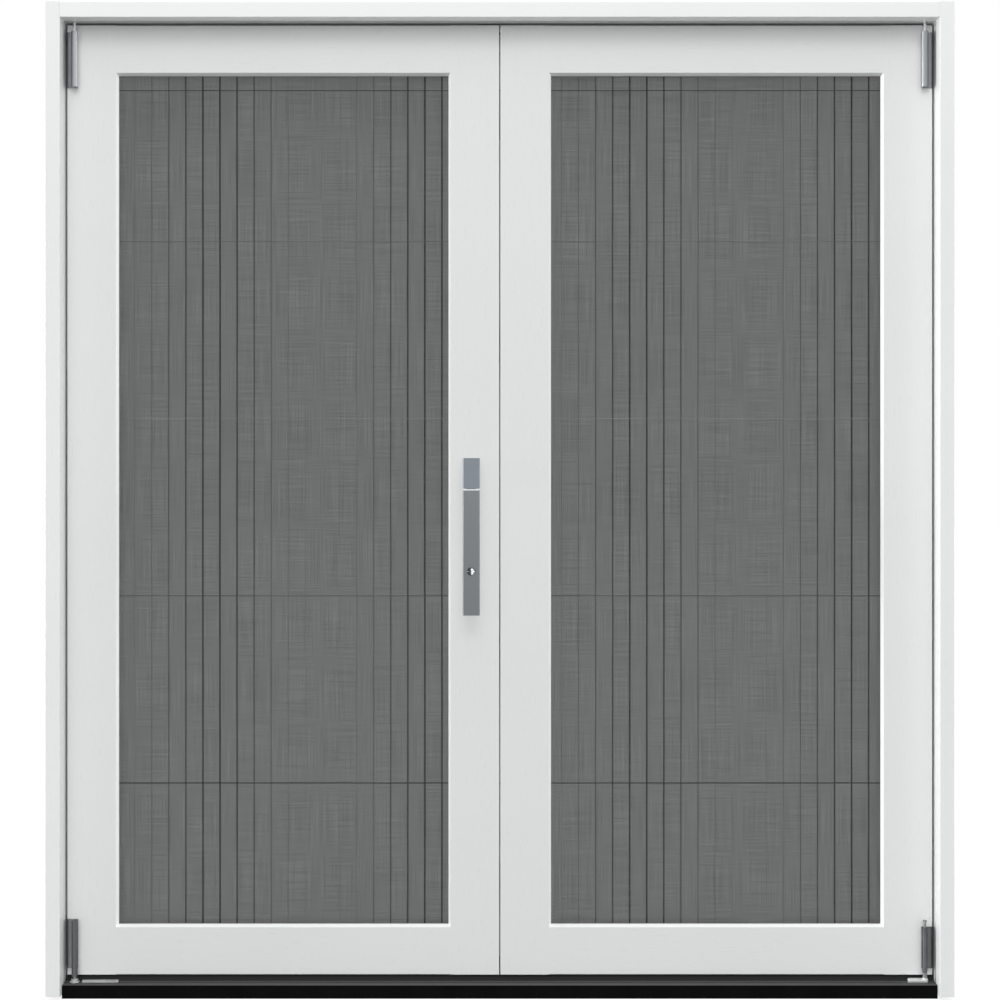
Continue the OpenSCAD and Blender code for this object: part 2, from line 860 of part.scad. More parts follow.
module right_inner_pane() {
    color(glass) pane(glass_back - pane_t);
}

module right_spacer() {
    color(rubber) spacer();
}

module right_beads() {
    color(white) beads();
}

module right_top_hinge() {
    color(steel) top_hinge();
}

module right_bottom_hinge() {
    color(steel) pivot_hinge(leaf_bottom + right_rise, low_right_top, leaf_bottom + flange_rise,
        low_right_top, right_barrel_r);
}

module right_fold_hinges() {
    color(steel) for (z = fold_zs) translate([0, 0, z]) {
        fold_plate();
        knuckle(0, knuckle_share * fold_h);
        knuckle(fold_h - knuckle_share * fold_h, fold_h);
    }
}

module right_screws() {
    color(steel) leaf_screws(low_right_top);
}

module left_hinge_stile() {
    color(white) on_left() hinge_stile(low_left_top);
}

module left_meeting_stile() {
    color(white) on_left() difference() {
        meeting_stile();
        box(leaf_in - over, leaf_in + case_w, leaf_mid - case_t / 2, leaf_mid + case_t / 2,
            hub_z - case_down, hub_z + case_up);
        rod_y(handle_x, hub_z, spindle_hole_r, leaf_front - over, leaf_back + over);
        rod_z(bolt_x, leaf_mid, bolt_r + loose_gap, hub_z, leaf_top + over);
        rod_z(bolt_x, leaf_mid, bolt_r + loose_gap, leaf_bottom - over, hub_z);
    }
}

module left_top_rail() {
    color(white) on_left() top_rail();
}

module left_bottom_rail() {
    color(white) on_left() bottom_rail();
}

module left_outer_pane() {
    color(glass) on_left() pane(glass_front);
}

module left_inner_pane() {
    color(glass) on_left() pane(glass_back - pane_t);
}

module left_spacer() {
    color(rubber) on_left() spacer();
}

module left_beads() {
    color(white) on_left() beads();
}

module left_top_hinge() {
    color(steel) on_left() top_hinge();
}

module left_bottom_hinge() {
    color(steel) on_left() pivot_hinge(leaf_bottom + left_rise, low_left_top, leaf_bottom + flange_rise,
        low_left_top, left_barrel_r);
}

module left_fold_hinges() {
    color(steel) on_left() for (z = fold_zs) translate([0, 0, z]) {
        fold_plate();
        knuckle(knuckle_share * fold_h + slide_gap, fold_h - knuckle_share * fold_h - slide_gap);
    }
}

module left_screws() {
    color(steel) on_left() leaf_screws(low_left_top);
}

module fold_pins() {
    color(steel) for (z = fold_zs) rod_z(0, fold_y, fold_pin_r, z, z + fold_h);
}

// handle and lock pieces
module lock_case() {
    color(steel) difference() {
        box(-leaf_in - case_w, -leaf_in, leaf_mid - case_t / 2, leaf_mid + case_t / 2,
            hub_z - case_down, hub_z + case_up);
        rod_y(-handle_x, hub_z, spindle_hole_r, leaf_mid - case_t, leaf_mid + case_t);
    }
}

module handle_backplate() {
    color(satin) difference() {
        along_y(leaf_front - backplate_t, leaf_front) polygon(box_corners(-handle_x - backplate_w / 2,
            -handle_x + backplate_w / 2, lever_bottom + backplate_margin,
            hub_top - backplate_margin, edge_r));
        rod_y(-handle_x, hub_z, spindle_hole_r, leaf_front - backplate_t - over, leaf_front + over);
    }
}

module along_y(y0, y1) {
    translate([0, y1, 0]) rotate([90, 0, 0]) linear_extrude(height = y1 - y0) children();
}

function handle_section(y0, y1) =
    box_corners(-handle_x - handle_w / 2, -handle_x + handle_w / 2, y0, y1, handle_r);

module outside_hub() {
    color(satin) difference() {
        along_z(hub_bottom, hub_top)
            polygon(handle_section(lever_front, leaf_front - backplate_t - slide_gap));
        box(-handle_x - neck_w / 2, -handle_x + neck_w / 2, lever_front + lever_t / 2 - neck_t / 2,
            lever_front + lever_t / 2 + neck_t / 2, hub_bottom - over, hub_bottom + neck_l);
        box(-handle_x - spindle_w / 2, -handle_x + spindle_w / 2, lever_back, leaf_front,
            hub_z - spindle_w / 2, hub_z + spindle_w / 2);
    }
}

module outside_lever() {
    post_end = leaf_front - backplate_t - slide_gap;
    color(satin) difference() {
        union() {
            difference() {
                along_z(lever_bottom, lever_top) polygon(handle_section(lever_front, lever_back));
                lever_bevel_cut();
            }
            box(-handle_x - neck_w / 2, -handle_x + neck_w / 2, lever_front + lever_t / 2 - neck_t / 2,
                lever_front + lever_t / 2 + neck_t / 2, lever_top - over, hub_bottom + neck_l);
            rod_y(-handle_x, button_z, post_r, lever_back - over, post_end);
        }
        rod_y(-handle_x, button_z, button_stem_r + run_gap, lever_front - over, post_end - button_travel);
    }
}

module lever_bevel_cut() {
    along_x(-handle_x - handle_w / 2 - over, -handle_x + handle_w / 2 + over) polygon([
        [lever_front - over, lever_top - lever_bevel - over], [lever_front - over, lever_top + over],
        [lever_front + lever_bevel + over, lever_top + over]
    ]);
}

module lock_button() {
    dome_y = lever_front - button_travel - slide_gap;
    ball_r = (button_r * button_r + button_dome * button_dome) / (2 * button_dome);
    color(steel) translate([-handle_x, dome_y, button_z]) rotate([90, 0, 0]) rotate_extrude()
        intersection() {
            union() {
                translate([0, button_dome - ball_r]) circle(r = ball_r);
                polygon([[0, -lever_t], [button_stem_r, -lever_t], [button_stem_r, 0], [0, 0]]);
            }
            polygon([[0, -lever_t], [button_stem_r, -lever_t], [button_stem_r, 0], [button_r, 0],
                [button_r, button_dome], [0, button_dome]]);
        }
}

module spindle() {
    color(steel) box(-handle_x - spindle_w / 2, -handle_x + spindle_w / 2, lever_back,
        leaf_back + inside_stand - inside_t, hub_z - spindle_w / 2, hub_z + spindle_w / 2);
}

module inside_rose() {
    color(satin) difference() {
        along_y(leaf_back, leaf_back + rose_t) polygon(box_corners(-handle_x - rose_w / 2,
            -handle_x + rose_w / 2, hub_z - rose_h / 2, hub_z + rose_h / 2, handle_r));
        rod_y(-handle_x, hub_z, spindle_hole_r, leaf_back - over, leaf_back + rose_t + over);
    }
}

module inside_lever() {
    y0 = leaf_back + rose_t + slide_gap;
    y1 = leaf_back + inside_stand;
    color(satin) difference() {
        union() {
            rod_y(-handle_x, hub_z, inside_hub_r, y0, y1);
            along_y(y1 - inside_t, y1) polygon(box_corners(-handle_x - inside_w / 2,
                -handle_x + inside_w / 2, hub_z - inside_l, hub_z, handle_r));
        }
        box(-handle_x - spindle_w / 2, -handle_x + spindle_w / 2, y0 - over, y1 - inside_t,
            hub_z - spindle_w / 2, hub_z + spindle_w / 2);
    }
}

module top_bolt() {
    color(steel) rod_z(-bolt_x, leaf_mid, bolt_r, hub_z + case_up + bolt_gap, leaf_top - bolt_gap);
}

module bottom_bolt() {
    color(steel) rod_z(-bolt_x, leaf_mid, bolt_r, leaf_bottom + bolt_gap, hub_z - case_down - bolt_gap);
}

// running gear pieces
module top_carriage() {
    z0 = lip_top + carriage_lift;
    color(steel) difference() {
        union() {
            box(-pivot_x - carriage_l / 2, -pivot_x + carriage_l / 2, pivot_y - carriage_w / 2,
                pivot_y + carriage_w / 2, z0, z0 + block_h - carriage_lift);
            hanging_pin(-pivot_x, z0 + carriage_lift);
        }
        for (s = [-1, 1]) rod_y(-pivot_x + s * wheel_x, wheel_z, axle_r + run_gap, pivot_y - carriage_w,
            pivot_y + carriage_w);
    }
}

module wheel_set(x) {
    rod_y(x, wheel_z, axle_r, pivot_y - wheel_y, pivot_y + wheel_y);
    for (t = [-1, 1]) rod_y(x, wheel_z, wheel_r, pivot_y + t * wheel_y - wheel_w / 2,
        pivot_y + t * wheel_y + wheel_w / 2);
}

module lead_wheels() {
    color(rubber) wheel_set(-pivot_x + wheel_x);
}

module trail_wheels() {
    color(rubber) wheel_set(-pivot_x - wheel_x);
}

module bottom_guide() {
    pin_end = leaf_bottom + left_rise + left_barrel_h / 2;
    bar_start = -pivot_x + guide_start;
    bar_end = bar_start + guide_l - guide_w / 2;
    color(steel) {
        rod_z(-pivot_x, pivot_y, pin_r, groove_z + slide_gap, pin_end);
        rod_z(-pivot_x, pivot_y, foot_r, guide_z, guide_z + foot_t);
        rod_z(-pivot_x, pivot_y, drum_r, guide_z, guide_z + foot_t + drum_t);
        box(-pivot_x, bar_end, pivot_y - fin_w / 2, pivot_y + fin_w / 2, groove_z + slide_gap, fin_top);
        box(bar_start, bar_end, pivot_y - fin_w / 2, pivot_y + fin_w / 2, fin_top - over, guide_z + over);
        box(bar_start, bar_end, pivot_y - guide_w / 2, pivot_y + guide_w / 2, guide_z, guide_z + guide_t);
        rod_z(bar_end, pivot_y, guide_w / 2, guide_z, guide_z + guide_t);
    }
}

left_jamb();
right_jamb();
head();
sill();
left_stop();
right_stop();
head_stop();
weather_dam();
frame_seals();
head_track();
top_pivot();
bottom_pivot_plate();
bottom_pivot_pin();
bolt_keepers();
screen_head_rail();
screen_sill_rail();
screen_fixed_channel();
screen_catch_channel();
insect_screen();
screen_cords();
screen_pull_bar();
right_hinge_stile();
right_meeting_stile();
right_top_rail();
right_bottom_rail();
right_outer_pane();
right_inner_pane();
right_spacer();
right_beads();
right_top_hinge();
right_bottom_hinge();
right_fold_hinges();
right_screws();
left_hinge_stile();
left_meeting_stile();
left_top_rail();
left_bottom_rail();
left_outer_pane();
left_inner_pane();
left_spacer();
left_beads();
left_top_hinge();
left_bottom_hinge();
left_fold_hinges();
left_screws();
fold_pins();
lock_case();
handle_backplate();
inside_rose();
outside_hub();
outside_lever();
spindle();
inside_lever();
lock_button();
top_bolt();
bottom_bolt();
top_carriage();
lead_wheels();
trail_wheels();
bottom_guide();
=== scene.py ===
import json
import math

import bpy
import numpy as np
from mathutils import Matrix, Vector


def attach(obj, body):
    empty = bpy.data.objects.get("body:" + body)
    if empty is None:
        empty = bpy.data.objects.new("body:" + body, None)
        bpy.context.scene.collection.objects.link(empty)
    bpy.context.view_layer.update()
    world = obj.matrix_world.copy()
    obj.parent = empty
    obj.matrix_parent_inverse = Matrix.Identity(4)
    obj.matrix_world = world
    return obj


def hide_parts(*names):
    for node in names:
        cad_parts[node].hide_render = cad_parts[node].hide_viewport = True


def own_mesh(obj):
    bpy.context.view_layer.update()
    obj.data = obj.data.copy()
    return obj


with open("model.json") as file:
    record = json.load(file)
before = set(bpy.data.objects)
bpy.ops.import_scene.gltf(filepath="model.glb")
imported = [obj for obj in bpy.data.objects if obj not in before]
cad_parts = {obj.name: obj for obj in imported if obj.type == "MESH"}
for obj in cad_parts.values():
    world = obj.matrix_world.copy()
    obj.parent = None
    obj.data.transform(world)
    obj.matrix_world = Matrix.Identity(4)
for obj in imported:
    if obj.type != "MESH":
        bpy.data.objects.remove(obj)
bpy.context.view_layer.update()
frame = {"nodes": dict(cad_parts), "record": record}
scene = bpy.context.scene
scene.view_settings.view_transform = "Standard"

# camera square to the door, level with the middle of the frame
lookout = {"place": (0.0005, -3.7375, 1.0187), "turn": (math.pi / 2, 0, 0), "lens": 64.72, "sensor": 36.0}
camData = bpy.data.cameras.new("doorCamera")
camData.lens = lookout["lens"]
camData.sensor_width = lookout["sensor"]
camera = bpy.data.objects.new("doorCamera", camData)
camera.location = lookout["place"]
camera.rotation_euler = lookout["turn"]
scene.collection.objects.link(camera)
scene.camera = camera
print("camera set")

# a weak soft lamp high in front, one on the room side, and far ones at both sides that graze
# the face and light the reveals and bevels; the sky gives most of the light
lamps = {
    "frontLamp": {"place": (0.0, -2.6, 4.4), "aim": (0.0, 0.0, 1.0), "size": (2.4, 1.2), "watts": 27},
    "roomLamp": {"place": (0.0, 4.5, 2.2), "aim": (0.0, 0.0, 1.0), "size": (3.0, 3.0), "watts": 40},
    "leftLamp": {"place": (-8.9, -0.36, 1.1), "aim": (0.0, -0.1, 1.1), "size": (0.22, 3.0), "watts": 540},
    "rightLamp": {"place": (8.9, -0.36, 1.1), "aim": (0.0, -0.1, 1.1), "size": (0.22, 3.0), "watts": 135},
    "leftFill": {"place": (-8.9, -0.8, 1.1), "aim": (0.0, -0.1, 1.1), "size": (0.3, 3.0), "watts": 210},
    "rightFill": {"place": (8.9, -0.8, 1.1), "aim": (0.0, -0.1, 1.1), "size": (0.3, 3.0), "watts": 125},
}
for name, lamp in lamps.items():
    data = bpy.data.lights.new(name, "AREA")
    data.shape = "RECTANGLE"
    data.size, data.size_y = lamp["size"]
    data.energy = lamp["watts"]
    obj = bpy.data.objects.new(name, data)
    obj.location = lamp["place"]
    away = Vector(lamp["place"]) - Vector(lamp["aim"])
    obj.rotation_euler = away.to_track_quat("Z", "Y").to_euler()
    scene.collection.objects.link(obj)


def add(tree, kind, sockets=None, **settings):
    # one node: settings are its options, sockets are numbers or links by name or place
    node = tree.nodes.new(kind)
    for key, value in settings.items():
        setattr(node, key, value)
    for key, value in (sockets or {}).items():
        socket = node.inputs[key]
        if isinstance(value, bpy.types.NodeSocket):
            tree.links.new(value, socket)
        else:
            socket.default_value = value
    return node


def sums(tree, operation, first, second):
    # one step of reckoning with two values
    return add(tree, "ShaderNodeMath", {0: first, 1: second}, operation=operation).outputs[0]


def seenDirectly(tree):
    # 1 for rays from the camera, from a mirror or through glass
    path = add(tree, "ShaderNodeLightPath").outputs
    shiny = sums(tree, "MAXIMUM", path["Is Glossy Ray"], path["Is Transmission Ray"])
    return sums(tree, "MAXIMUM", path["Is Camera Ray"], shiny)


# sky: white where it is seen; as light it is bright above, dim below and weaker to both sides
sky = {"low": (0.21, 0.21, 0.21, 1), "high": (1.7, 1.7, 1.7, 1), "horizon": (0.47, 0.55), "seen": 1.0,
       "middle": 1.28, "sides": 0.24, "fade": (0.3, 0.7)}
world = bpy.data.worlds.new("studio")
world.use_nodes = True
scene.world = world
tree = world.node_tree
tree.nodes.clear()
toward = add(tree, "ShaderNodeSeparateXYZ", {0: add(tree, "ShaderNodeTexCoord").outputs["Generated"]})
height = add(tree, "ShaderNodeMapRange", {"Value": toward.outputs["Z"], "From Min": -1.0, "From Max": 1.0})
ramp = add(tree, "ShaderNodeValToRGB", {"Fac": height.outputs[0]})
for stop, position, colour in zip(ramp.color_ramp.elements, sky["horizon"], (sky["low"], sky["high"])):
    stop.position = position
    stop.color = colour
sideways = add(tree, "ShaderNodeMath", {0: toward.outputs["X"]}, operation="ABSOLUTE").outputs[0]
side = add(tree, "ShaderNodeMapRange", {
    "Value": sideways, "From Min": sky["fade"][0], "From Max": sky["fade"][1],
    "To Min": sky["middle"], "To Max": sky["sides"]})
light = add(tree, "ShaderNodeBackground", {"Color": ramp.outputs["Color"], "Strength": side.outputs[0]})
plain = add(tree, "ShaderNodeBackground", {"Color": (1, 1, 1, 1), "Strength": sky["seen"]})
mixed = add(tree, "ShaderNodeMixShader", {0: seenDirectly(tree), 1: light.outputs[0], 2: plain.outputs[0]})
add(tree, "ShaderNodeOutputWorld", {"Surface": mixed.outputs[0]})

# floor: a flat grid, white where it is seen apart from the door's faint shadow
floorLook = {"half": 60.0, "steps": 3, "z": -0.0005, "grey": (0.18, 0.18, 0.18, 1),
             "pale": (0.85, 0.85, 0.85, 1), "glow": 1.1, "shadowShare": 0.25}


def addMesh(name, points, faces):
    # an object at the origin from an array of points and a list of faces
    mesh = bpy.data.meshes.new(name)
    mesh.from_pydata(points.reshape(-1, 3).tolist(), [], faces)
    mesh.update()
    obj = bpy.data.objects.new(name, mesh)
    scene.collection.objects.link(obj)
    return obj


def gridMesh(name, points):
    # points is an array of rows by columns by 3; faces join each point to the next in row and column
    rows, cols = points.shape[:2]
    index = np.arange(rows * cols).reshape(rows, cols)
    quads = np.stack([index[:-1, :-1], index[:-1, 1:], index[1:, 1:], index[1:, :-1]], -1).reshape(-1, 4)
    return addMesh(name, points, quads.tolist())


span = np.linspace(-floorLook["half"], floorLook["half"], floorLook["steps"])
floorX, floorY = np.meshgrid(span, span)
floor = gridMesh("floor", np.stack([floorX, floorY, np.full_like(floorX, floorLook["z"])], -1))
floorMat = bpy.data.materials.new("paleFloor")
floorMat.use_nodes = True
tree = floorMat.node_tree
tree.nodes.clear()
matte = add(tree, "ShaderNodeBsdfDiffuse", {"Color": floorLook["grey"]})
bright = add(tree, "ShaderNodeBsdfDiffuse", {"Color": floorLook["pale"]})
glow = add(tree, "ShaderNodeEmission", {"Color": (1, 1, 1, 1), "Strength": floorLook["glow"]})
shown = add(tree, "ShaderNodeMixShader", {
    0: floorLook["shadowShare"], 1: glow.outputs[0], 2: bright.outputs[0]})
both = add(tree, "ShaderNodeMixShader", {0: seenDirectly(tree), 1: matte.outputs[0], 2: shown.outputs[0]})
add(tree, "ShaderNodeOutputMaterial", {"Surface": both.outputs[0]})
floor.data.materials.append(floorMat)
print("lamps, sky and floor set")

noiseRange = (0.3, 0.7)  # a noise value mostly stays between these
noiseDetail = {"cloud": 4.0, "grain": 2.0, "slub": 3.0}


def startFinish(name):
    # an empty material with its shader and output, and a place on the surface in metres
    mat = bpy.data.materials.new(name)
    mat.use_nodes = True
    tree = mat.node_tree
    tree.nodes.clear()
    shader = add(tree, "ShaderNodeBsdfPrincipled")
    output = add(tree, "ShaderNodeOutputMaterial", {"Surface": shader.outputs[0]})
    place = add(tree, "ShaderNodeTexCoord").outputs["Object"]
    return mat, tree, shader, output, place


def noise(tree, place, scale, stretch, detail):
    # cloudy values from 0 to 1, scale per metre, longer where stretch is small
    moved = add(tree, "ShaderNodeMapping", {"Vector": place, "Scale": stretch}).outputs[0]
    return add(tree, "ShaderNodeTexNoise", {"Vector": moved, "Scale": scale, "Detail": detail}).outputs["Fac"]


def spread(tree, value, low, high):
    # a noise value spread from low to high
    return add(tree, "ShaderNodeMapRange", {
        "Value": value, "From Min": noiseRange[0], "From Max": noiseRange[1], "To Min": low,
        "To Max": high}).outputs[0]


def tint(tree, value, dark, pale):
    # a colour between dark and pale by a noise value
    ramp = add(tree, "ShaderNodeValToRGB", {"Fac": value})
    for stop, position, colour in zip(ramp.color_ramp.elements, noiseRange, (dark, pale)):
        stop.position = position
        stop.color = (*colour, 1)
    return ramp.outputs["Color"]


def blended(tree, share, first, second):
    # a colour that goes from first to second as share goes from 0 to 1
    return add(tree, "ShaderNodeMix", {0: share, 6: first, 7: second}, data_type="RGBA").outputs[2]


def relief(tree, shader, value, depth, strength=1.0):
    # bump of a depth in metres
    bump = add(tree, "ShaderNodeBump", {"Height": value, "Distance": depth, "Strength": strength})
    tree.links.new(bump.outputs[0], shader.inputs["Normal"])


def along(tree, source, axis, start, end):
    # 0 to 1 as the place or the normal of the surface goes from start to end along an axis
    parts = add(tree, "ShaderNodeSeparateXYZ", {0: add(tree, "ShaderNodeTexCoord").outputs[source]})
    return add(tree, "ShaderNodeMapRange", {
        "Value": parts.outputs[axis], "From Min": start, "From Max": end}).outputs[0]


def surfaceFinish(name, look):
    # clouded colour, uneven gloss and a fine stretched relief, which every painted or metal piece has, and
    # painted light and shade where the look lists it
    mat, tree, shader, output, place = startFinish(name)
    cloud = noise(tree, place, look["cloudScale"], look.get("cloudStretch", (1, 1, 1)), noiseDetail["cloud"])
    grain = noise(tree, place, look["grainScale"], look["grainStretch"], noiseDetail["grain"])
    colour = tint(tree, cloud, look["dark"], look["pale"])
    # painted light and shade: the colour goes over to a lighter or darker one by place or by facing
    for source, axis, start, end, paintedColour in look.get("paintedShading", ()):
        colour = blended(tree, along(tree, source, axis, start, end), colour, (*paintedColour, 1))
    tree.links.new(colour, shader.inputs["Base Color"])
    tree.links.new(spread(tree, grain, *look["gloss"]), shader.inputs["Roughness"])
    shader.inputs["Metallic"].default_value = look.get("metal", 0.0)
    # where a look asks, a painted highlight is made matte and not metallic
    if "paintedHighlightMatte" in look:
        tree.links.new(along(tree, *look["paintedHighlightMatte"]), shader.inputs["Metallic"])
    shader.inputs["Specular IOR Level"].default_value = look.get("shine", 0.5)
    relief(tree, shader, grain, look["depth"])
    return mat


# what several finishes share; the grain runs up the jambs and stiles, and across the head and rails
paint = {"cloudScale": 2.2, "grainScale": 620, "gloss": (0.26, 0.38), "depth": 0.00004, "shine": 0.5}
upright = {**paint, "grainStretch": (1, 1, 0.06)}
level = {**paint, "grainStretch": (0.06, 1, 1)}
leafWhite = {"dark": (0.712, 0.728, 0.724), "pale": (0.732, 0.748, 0.744)}
# painted highlight for the stiles' faces that turn sideways, such as the bevels beside the glass
paintedBevelHighlight = (0.94, 0.95, 0.945)
hinge = {"cloudScale": 30, "grainScale": 1800, "grainStretch": (1, 1, 0.03), "gloss": (0.34, 0.46),
         "depth": 0.00002, "metal": 1.0}
# upper hinges' steel, painted lighter than the lower hinges' as a lit copy of the same steel
hingeGrey = {"dark": (0.20, 0.21, 0.22), "pale": (0.25, 0.262, 0.275)}
cast = {"cloudScale": 50, "grainScale": 1600, "grainStretch": (1, 1, 1), "gloss": (0.35, 0.5),
        "depth": 0.00003, "metal": 0.35}
nickel = {"cloudScale": 9, "cloudStretch": (1, 1, 0.5), "grainScale": 2200, "grainStretch": (1, 1, 0.02),
          "gloss": (0.32, 0.44), "depth": 0.00002, "metal": 1.0}
# paintedShading: painted light and shade, where the colour goes over to another, by place in metres or by the
# way the surface faces
looks = {
    # painted light from above: the jambs grow paler toward their upper ends
    "frameUpright": {**upright, "dark": (0.755, 0.772, 0.768), "pale": (0.775, 0.792, 0.788),
                     "paintedShading": [("Object", "Z", 1.7, 2.03, (0.795, 0.812, 0.808))]},
    # painted light from above: the head is painted paler than the jambs
    "frameLevel": {**level, "dark": (0.795, 0.812, 0.808), "pale": (0.815, 0.832, 0.828)},
    # painted highlight: faces of the stiles turned sideways are paler than the front
    "leafUpright": {**upright, **leafWhite,
                    "paintedShading": [("Normal", "X", 0.7, 0.85, paintedBevelHighlight),
                               ("Normal", "X", -0.7, -0.85, paintedBevelHighlight)]},
    "leafLevel": {**level, **leafWhite},
    "sillBlack": {"dark": (0.002, 0.002, 0.002), "pale": (0.0035, 0.0035, 0.0035), "cloudScale": 14,
                  "grainScale": 900, "grainStretch": (0.02, 1, 1), "gloss": (0.32, 0.5), "depth": 0.00004,
                  "shine": 0.03,
                  # painted light: the sill is lighter behind its nose and on its sloped faces, lightest on
                  # the faces turned up, and stays black on its front
                  "paintedShading": [("Object", "Y", -0.06, -0.055, (0.06, 0.06, 0.06)),
                             ("Normal", "Z", 0.2, 0.36, (0.024, 0.024, 0.024)),
                             ("Normal", "Z", 0.6, 0.9, (0.075, 0.076, 0.076))]},
    "sealRubber": {"dark": (0.010, 0.010, 0.010), "pale": (0.018, 0.018, 0.018), "cloudScale": 60,
                   "grainScale": 1500, "grainStretch": (1, 1, 1), "gloss": (0.6, 0.8), "depth": 0.00008,
                   "shine": 0.3},
    "coatedAlloy": {"dark": (0.70, 0.715, 0.715), "pale": (0.73, 0.745, 0.745), "cloudScale": 5,
                    "grainScale": 1500, "grainStretch": (1, 1, 1), "gloss": (0.42, 0.55), "depth": 0.00006,
                    "shine": 0.4},
    "steelBright": {"dark": (0.52, 0.53, 0.54), "pale": (0.66, 0.67, 0.68), "cloudScale": 40,
                    "grainScale": 1600, "grainStretch": (0.03, 1, 1), "gloss": (0.22, 0.36), "depth": 0.00002,
                    "metal": 1.0},
    "steelSatin": {"dark": (0.38, 0.40, 0.42), "pale": (0.48, 0.505, 0.53), "cloudScale": 30,
                   "grainScale": 1800, "grainStretch": (1, 1, 0.03), "gloss": (0.28, 0.42), "depth": 0.00002,
                   "metal": 1.0},
    # painted reflection: bright and dark bands across the upper hinge barrels, by place
    "hingeUpperLeft": {**hinge, **hingeGrey,
                       "paintedShading": [("Object", "X", -0.8795, -0.8780, (0.30, 0.315, 0.325)),
                                  ("Object", "X", -0.8775, -0.8660, (0.44, 0.455, 0.47))]},
    "hingeUpperRight": {**hinge, **hingeGrey,
                        "paintedShading": [("Object", "X", 0.8795, 0.8780, (0.285, 0.298, 0.308)),
                                   ("Object", "X", 0.8735, 0.8680, (0.325, 0.343, 0.361))]},
    # painted shade: the lower hinges are darker copies of the same steel, with a darker band across the lower
    # left barrel
    "hingeLowerLeft": {**hinge, "dark": (0.17, 0.18, 0.185), "pale": (0.20, 0.21, 0.215),
                       "paintedShading": [("Object", "X", -0.8785, -0.8705, (0.095, 0.099, 0.102))]},
    "hingeLowerRight": {**hinge, "dark": (0.102, 0.107, 0.111), "pale": (0.128, 0.134, 0.139)},
    "steelDark": {"dark": (0.19, 0.20, 0.205), "pale": (0.24, 0.25, 0.255), "cloudScale": 40,
                  "grainScale": 1600, "grainStretch": (1, 1, 0.03), "gloss": (0.3, 0.42), "depth": 0.00002,
                  "metal": 1.0},
    "steelCast": {**cast, "dark": (0.40, 0.41, 0.41), "pale": (0.52, 0.53, 0.53)},
    "steelPlate": {**cast, "dark": (0.68, 0.69, 0.69), "pale": (0.76, 0.77, 0.77),
                   # painted light and shade: the pivot plate is a bright copy of the cast steel whose lowest
                   # rows go dark, and the boss above it is darker
                   "paintedShading": [("Object", "Z", 0.0345, 0.0285, (0.12, 0.12, 0.12)),
                              ("Object", "Z", 0.0362, 0.0395, (0.19, 0.19, 0.195))]},
    "nickelSatin": {**nickel, "dark": (0.190, 0.205, 0.212), "pale": (0.208, 0.224, 0.232),
                    # painted shade and highlight: the lever darkens toward its lower end, and its
                    # upward-facing top edge is painted pale
                    "paintedShading": [("Object", "Z", 1.04, 0.78, (0.172, 0.184, 0.190)),
                               ("Normal", "Z", 0.4, 0.65, (0.66, 0.67, 0.68))],
                    "paintedHighlightMatte": ("Normal", "Z", 0.65, 0.4)},
    "nickelHub": {**nickel, "dark": (0.205, 0.228, 0.250), "pale": (0.222, 0.247, 0.272)},
    "chromeBright": {"dark": (0.78, 0.79, 0.80), "pale": (0.86, 0.87, 0.88), "cloudScale": 60,
                     "grainScale": 500, "grainStretch": (1, 1, 1), "gloss": (0.04, 0.10), "depth": 0.000004,
                     "metal": 1.0,
                     # painted reflection: the lock button's dome is dark left of its middle, bright in the
                     # middle and greyer at its right edge
                     "paintedShading": [("Normal", "X", 0.12, -0.08, (0.09, 0.095, 0.10)),
                                ("Normal", "X", -0.3, -0.5, (0.05, 0.052, 0.054)),
                                ("Normal", "X", 0.35, 0.6, (0.33, 0.34, 0.35))]},
    "wheelNylon": {"dark": (0.016, 0.016, 0.018), "pale": (0.028, 0.028, 0.03), "cloudScale": 80,
                   "grainScale": 900, "grainStretch": (1, 1, 1), "gloss": (0.4, 0.55), "depth": 0.00004,
                   "shine": 0.4},
}
finishes = {name: surfaceFinish(name, look) for name, look in looks.items()}

# clear glass: mostly lets through, with a faint mirror that grows at a slant and dust in its gloss
glassLook = {"through": (0.985, 0.988, 0.986, 1), "mirror": (0.9, 0.93, 0.93, 1), "bend": 1.22,
             "dust": (0.01, 0.022), "dustScale": 9, "dustStretch": (1, 1, 0.6)}
glassMat = bpy.data.materials.new("clearGlass")
glassMat.use_nodes = True
tree = glassMat.node_tree
tree.nodes.clear()
place = add(tree, "ShaderNodeTexCoord").outputs["Object"]
clear = add(tree, "ShaderNodeBsdfTransparent", {"Color": glassLook["through"]})
dust = noise(tree, place, glassLook["dustScale"], glassLook["dustStretch"], noiseDetail["cloud"])
film = spread(tree, dust, *glassLook["dust"])
mirror = add(tree, "ShaderNodeBsdfAnisotropic", {"Color": glassLook["mirror"], "Roughness": film})
# the same bend from both sides, as the clear shader sends rays straight on inside a pane
inside = add(tree, "ShaderNodeNewGeometry").outputs["Backfacing"]
bend = add(tree, "ShaderNodeMapRange", {
    "Value": inside, "To Min": glassLook["bend"], "To Max": 1 / glassLook["bend"]})
slant = add(tree, "ShaderNodeFresnel", {"IOR": bend.outputs[0]})
pane = add(tree, "ShaderNodeMixShader", {0: slant.outputs[0], 1: clear.outputs[0], 2: mirror.outputs[0]})
add(tree, "ShaderNodeOutputMaterial", {"Surface": pane.outputs[0]})
finishes["clearGlass"] = glassMat
print("finishes made:", len(finishes))

